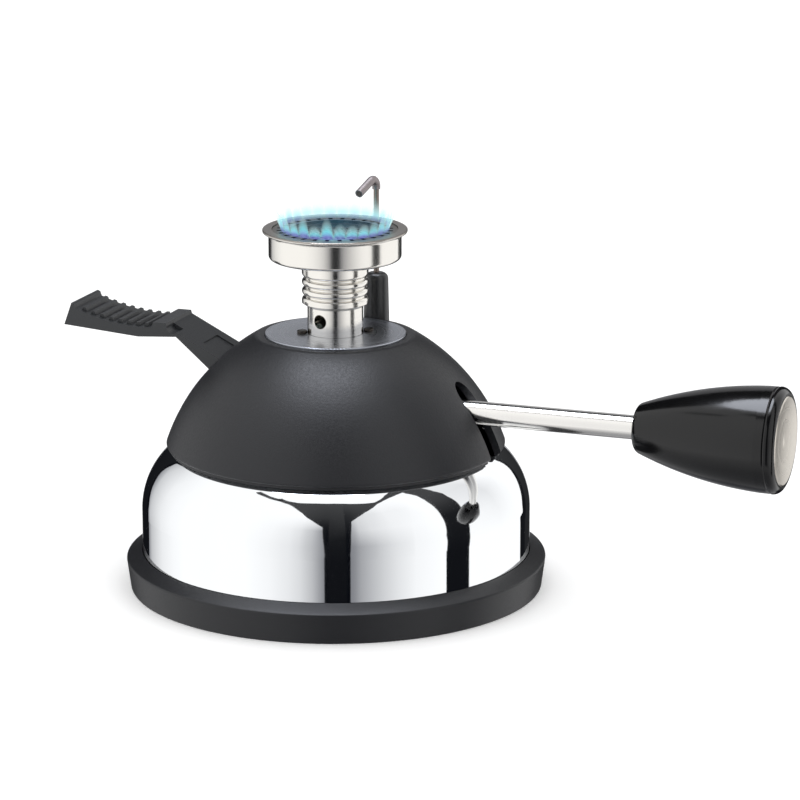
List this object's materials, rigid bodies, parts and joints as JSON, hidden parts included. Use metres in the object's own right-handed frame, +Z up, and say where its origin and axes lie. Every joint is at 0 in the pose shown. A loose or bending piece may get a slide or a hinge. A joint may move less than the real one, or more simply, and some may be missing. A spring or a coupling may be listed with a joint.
{
  "type": "gas burner stand",
  "caption": "Table-top gas burner on a round base with a chromed housing, a domed shell, a ribbed neck and flame cup, a lever that makes the spark and a side handle that sets the flame.",
  "frame": {"origin": "centre of the base ring's flat foot, on the table and on the burner's axis", "axes": "+Z up along the burner's axis, +X along the rod towards the handle, -X towards the ignition lever"},
  "size_m": [0.2255, 0.1278, 0.1222],
  "materials": {
    "base_black": "semi-matte black moulded plastic",
    "housing_chrome": "mirror chrome on drawn steel",
    "dome_black": "matte charcoal moulded plastic",
    "lever_black": "matte black moulded plastic",
    "handle_black": "glossy black moulded plastic",
    "post_black": "smooth black heat-resistant plastic",
    "plate_satin": "satin stainless steel",
    "burner_steel": "polished stainless steel",
    "flame_ring_steel": "dull heat-tinted stainless steel",
    "rod_chrome": "polished chromed steel",
    "cap_aluminium": "spun satin aluminium",
    "electrode_metal": "drawn heat-resistant wire",
    "screw_dark": "blackened steel",
    "small_steel": "bright plated steel",
    "valve_brass": "turned brass",
    "bottom_paint": "black painted sheet steel",
    "tank_plastic": "natural white moulded plastic",
    "wick_cotton": "woven cotton",
    "seal_rubber": "black rubber",
    "frame_alloy": "die-cast alloy",
    "piezo_plastic": "red moulded plastic",
    "lead_rubber": "black insulated lead"
  },
  "bodies": {
    "stand": {"base_ring": "base_black", "bottom_plate": "bottom_paint", "base_screws": "screw_dark", "housing_shell": "housing_chrome", "tank_cup": "tank_plastic", "tank_lid": "tank_plastic", "feed_wick": "wick_cotton", "refill_valve": "valve_brass", "refill_seal": "seal_rubber", "refill_spring": "small_steel", "valve_body": "valve_brass", "spindle_seal": "seal_rubber", "gland_nut": "valve_brass", "gas_jet": "valve_brass", "mechanism_frame": "frame_alloy", "frame_screws": "small_steel", "lever_pin": "small_steel", "pin_clips": "small_steel", "piezo_body": "piezo_plastic", "lever_spring": "small_steel", "electrode_post": "post_black", "electrode": "electrode_metal", "electrode_tip": "electrode_metal", "ignition_lead": "lead_rubber", "dome_shell": "dome_black", "top_plate": "plate_satin", "plate_screws": "screw_dark", "burner_tube": "burner_steel", "burner_cup": "burner_steel", "flame_ring": "flame_ring_steel", "flame_gauze": "flame_ring_steel"},
    "flame_control": {"control_rod": "rod_chrome", "control_handle": "handle_black", "handle_cap": "cap_aluminium", "valve_spindle": "valve_brass", "rod_pin": "small_steel"},
    "needle": {"regulator_needle": "small_steel"},
    "lever": {"ignition_lever": "lever_black"},
    "plunger": {"piezo_plunger": "piezo_plastic"},
    "filling_stem": {"refill_stem": "valve_brass"}
  },
  "joints": [
    {"name": "flame_control_turn", "type": "hinge", "parent": "stand", "child": "flame_control", "pos_m": [0.06, 0, 0.0571], "axis": [1, 0, 0], "range_deg": [-150, 120]},
    {"name": "needle_travel", "type": "slide", "parent": "stand", "child": "needle", "axis": [1, 0, 0], "range_m": [-0.00032, 0.00026]},
    {"name": "lever_press", "type": "hinge", "parent": "stand", "child": "lever", "pos_m": [-0.013, 0, 0.0575], "axis": [0, -1, 0], "range_deg": [0, 12], "stiffness_Nm_per_rad": 0.6, "springref_deg": -5.73},
    {"name": "plunger_press", "type": "slide", "parent": "stand", "child": "plunger", "axis": [0, 0, -1], "range_m": [0, 0.00262], "deforming": ["lever_spring"]},
    {"name": "filling_stem_press", "type": "slide", "parent": "stand", "child": "filling_stem", "axis": [0, 0, 1], "range_m": [0, 0.0015], "stiffness_N_per_m": 600, "springref_m": -0.001, "deforming": ["refill_spring"]}
  ],
  "couplings": [
    {"joint": "needle_travel", "follows": "flame_control_turn", "m_per_rad": 0.00011937},
    {"joint": "plunger_press", "follows": "lever_press", "m_per_rad": 0.012414}
  ]
}
